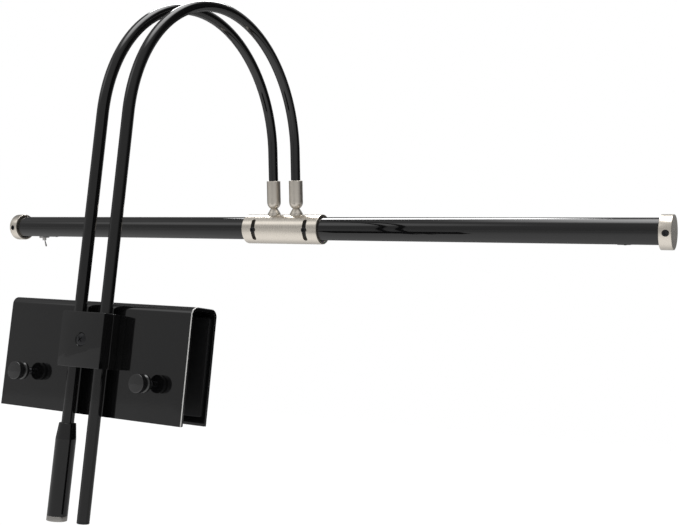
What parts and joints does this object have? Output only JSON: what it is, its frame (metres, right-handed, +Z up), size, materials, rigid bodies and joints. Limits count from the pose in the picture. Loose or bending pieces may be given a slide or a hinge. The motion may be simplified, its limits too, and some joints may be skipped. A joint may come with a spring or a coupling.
{
  "type": "picture light",
  "caption": "Clip-on picture light: U-shaped clip with thumb screws, sliding gooseneck arms and a long turning LED tube with a toggle switch.",
  "frame": {"origin": "middle of the clip's inner seat, the underside of the channel's top, which rests on the edge the light is clipped to", "axes": "+X along the lamp tube towards the end away from the switch, +Y from the thumb screws' side towards the lamp, +Z up"},
  "size_m": [0.559, 0.2115, 0.3278],
  "materials": {
    "black_gloss": "gloss black paint over steel",
    "black_tube": "gloss black coating on an aluminium tube",
    "knob_black": "gloss black finish on turned, knurled steel",
    "dark_steel": "black oxide",
    "satin_nickel": "satin nickel plate, brushed",
    "switch_chrome": "bright nickel plate",
    "liner_pad": "thin matt black foam rubber",
    "pad_rubber": "matt",
    "black_plastic": "moulded",
    "contact_brass": "plated contact",
    "contact_silver": "tinned terminals",
    "lead_jacket": "flexible lead jacket",
    "bare_aluminium": "mill finish",
    "board_white": "white solder mask",
    "led_yellow": "phosphor over light-emitting chips",
    "diffuser_white": "translucent white lens",
    "switch_case": "moulded switch case"
  },
  "bodies": {
    "clip": {"clip_channel": "black_gloss", "back_liner": "liner_pad", "screw_inserts": "dark_steel", "clamp_block_rear": "black_gloss", "clamp_block_front": "black_gloss", "clamp_screw": "dark_steel", "clamp_nut": "dark_steel"},
    "pad_left": {"press_pad_left": "dark_steel", "pad_facing_left": "pad_rubber"},
    "pad_right": {"press_pad_right": "dark_steel", "pad_facing_right": "pad_rubber"},
    "screw_left": {"thumb_screw_left": "knob_black"},
    "screw_right": {"thumb_screw_right": "knob_black"},
    "arms": {"arm_left": "black_gloss", "arm_right": "black_gloss", "arm_end_plug": "black_plastic", "inlet_housing": "black_gloss", "inlet_ring": "satin_nickel", "power_jack": "black_plastic", "jack_pin": "contact_brass", "arm_lead": "lead_jacket", "ferrule_left": "satin_nickel", "ferrule_right": "satin_nickel", "post_left": "satin_nickel", "post_right": "satin_nickel", "centre_sleeve": "satin_nickel"},
    "lamp": {"lamp_tube": "black_tube", "guide_screws": "dark_steel", "end_cap_left": "satin_nickel", "end_cap_right": "satin_nickel", "cap_screws": "dark_steel", "led_carrier": "bare_aluminium", "led_board": "board_white", "led_chips": "led_yellow", "diffuser": "diffuser_white", "diffuser_retainers": "black_plastic", "switch_body": "switch_case", "switch_terminals": "contact_silver", "switch_bushing": "switch_chrome", "switch_nut": "switch_chrome", "tube_lead": "lead_jacket"},
    "lever": {"switch_lever": "switch_chrome"}
  },
  "joints": [
    {"name": "pad_slide_left", "type": "slide", "parent": "clip", "child": "pad_left", "axis": [0, 1, 0], "range_m": [-0.003, 0.0047]},
    {"name": "screw_turn_left", "type": "hinge", "parent": "pad_left", "child": "screw_left", "pos_m": [-0.0467, -0.0167, -0.0414], "axis": [0, 1, 0], "range_deg": [-2161, 3385]},
    {"name": "pad_slide_right", "type": "slide", "parent": "clip", "child": "pad_right", "axis": [0, 1, 0], "range_m": [-0.003, 0.0045]},
    {"name": "screw_turn_right", "type": "hinge", "parent": "pad_right", "child": "screw_right", "pos_m": [0.0447, -0.0165, -0.0414], "axis": [0, 1, 0], "range_deg": [-2161, 3241]},
    {"name": "arm_slide", "type": "slide", "parent": "clip", "child": "arms", "axis": [0, 0, 1], "range_m": [-0.11, 0.009]},
    {"name": "lamp_turn", "type": "hinge", "parent": "arms", "child": "lamp", "pos_m": [0.0026, 0.17585, 0.07427], "axis": [1, 0, 0], "range_deg": [-35, 36]},
    {"name": "toggle_flip", "type": "hinge", "parent": "lamp", "child": "lever", "pos_m": [-0.2467, 0.17785, 0.06488], "axis": [0, 0.9781, 0.2079], "range_deg": [0, 30]}
  ],
  "couplings": [
    {"joint": "screw_turn_left", "follows": "pad_slide_left", "rad_per_m": 12566},
    {"joint": "screw_turn_right", "follows": "pad_slide_right", "rad_per_m": 12566}
  ]
}
